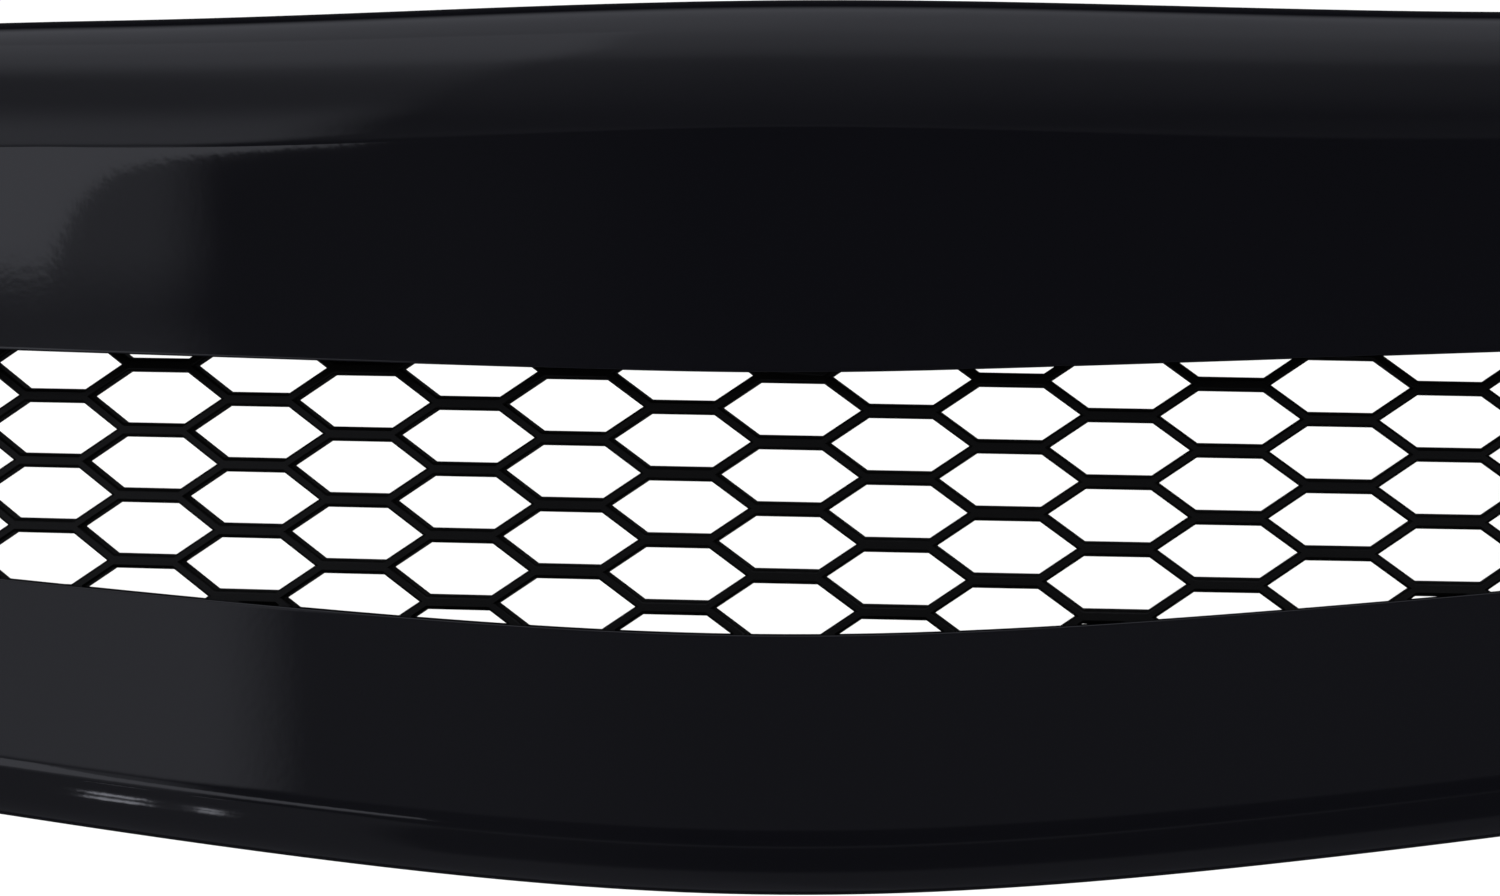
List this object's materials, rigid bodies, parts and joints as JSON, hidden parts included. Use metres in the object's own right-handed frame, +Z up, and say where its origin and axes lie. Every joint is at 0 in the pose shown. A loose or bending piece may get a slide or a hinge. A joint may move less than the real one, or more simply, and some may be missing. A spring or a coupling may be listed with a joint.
{
  "type": "front grille",
  "caption": "Car front grille: swept gloss black shell with a long air slot, honeycomb mesh insert, foam seals, spring clips, side brackets and push retainers.",
  "frame": {"origin": "middle of the flat seat under the centre tab, which rests on the radiator support", "axes": "+X across the car to the viewer's right, +Y backwards into the car, +Z up; the grille faces -Y"},
  "size_m": [0.86, 0.1971, 0.151],
  "materials": {
    "gloss_black_shell": "high gloss black paint over moulded ABS",
    "satin_black_mesh": "satin black moulded ABS",
    "zinc_screw": "zinc plated",
    "black_nylon": "matt moulded nylon",
    "spring_steel": "dark phosphated spring steel",
    "coated_steel": "black electrocoat",
    "foam_seal": "closed cell EPDM foam"
  },
  "bodies": {
    "grille": {"front_shell": "gloss_black_shell", "mesh_insert": "satin_black_mesh", "mesh_screw_upper_left_1": "zinc_screw", "mesh_screw_upper_left_2": "zinc_screw", "mesh_screw_upper_left_3": "zinc_screw", "mesh_screw_upper_right_1": "zinc_screw", "mesh_screw_upper_right_2": "zinc_screw", "mesh_screw_upper_right_3": "zinc_screw", "mesh_screw_lower_left_1": "zinc_screw", "mesh_screw_lower_left_2": "zinc_screw", "mesh_screw_lower_left_3": "zinc_screw", "mesh_screw_lower_right_1": "zinc_screw", "mesh_screw_lower_right_2": "zinc_screw", "mesh_screw_lower_right_3": "zinc_screw", "side_screw_left_inner": "zinc_screw", "side_screw_left_outer": "zinc_screw", "side_screw_right_inner": "zinc_screw", "side_screw_right_outer": "zinc_screw", "retainer_body_left_inner": "black_nylon", "retainer_body_right_inner": "black_nylon", "retainer_body_left_outer": "black_nylon", "retainer_body_right_outer": "black_nylon", "lower_clip_left_1": "spring_steel", "lower_clip_right_1": "spring_steel", "lower_clip_left_2": "spring_steel", "lower_clip_right_2": "spring_steel", "side_bracket_left": "coated_steel", "side_bracket_right": "coated_steel", "top_seal_left_inner": "foam_seal", "top_seal_left_outer": "foam_seal", "top_seal_right_inner": "foam_seal", "top_seal_right_outer": "foam_seal"},
    "pin_left_inner": {"retainer_pin_left_inner": "black_nylon"},
    "pin_right_inner": {"retainer_pin_right_inner": "black_nylon"},
    "pin_left_outer": {"retainer_pin_left_outer": "black_nylon"},
    "pin_right_outer": {"retainer_pin_right_outer": "black_nylon"}
  },
  "joints": [
    {"name": "pin_left_inner_slide", "type": "slide", "parent": "grille", "child": "pin_left_inner", "axis": [0, 0, 1], "range_m": [0, 0.006]},
    {"name": "pin_right_inner_slide", "type": "slide", "parent": "grille", "child": "pin_right_inner", "axis": [0, 0, 1], "range_m": [0, 0.006]},
    {"name": "pin_left_outer_slide", "type": "slide", "parent": "grille", "child": "pin_left_outer", "axis": [0, 0, 1], "range_m": [0, 0.006]},
    {"name": "pin_right_outer_slide", "type": "slide", "parent": "grille", "child": "pin_right_outer", "axis": [0, 0, 1], "range_m": [0, 0.006]}
  ]
}
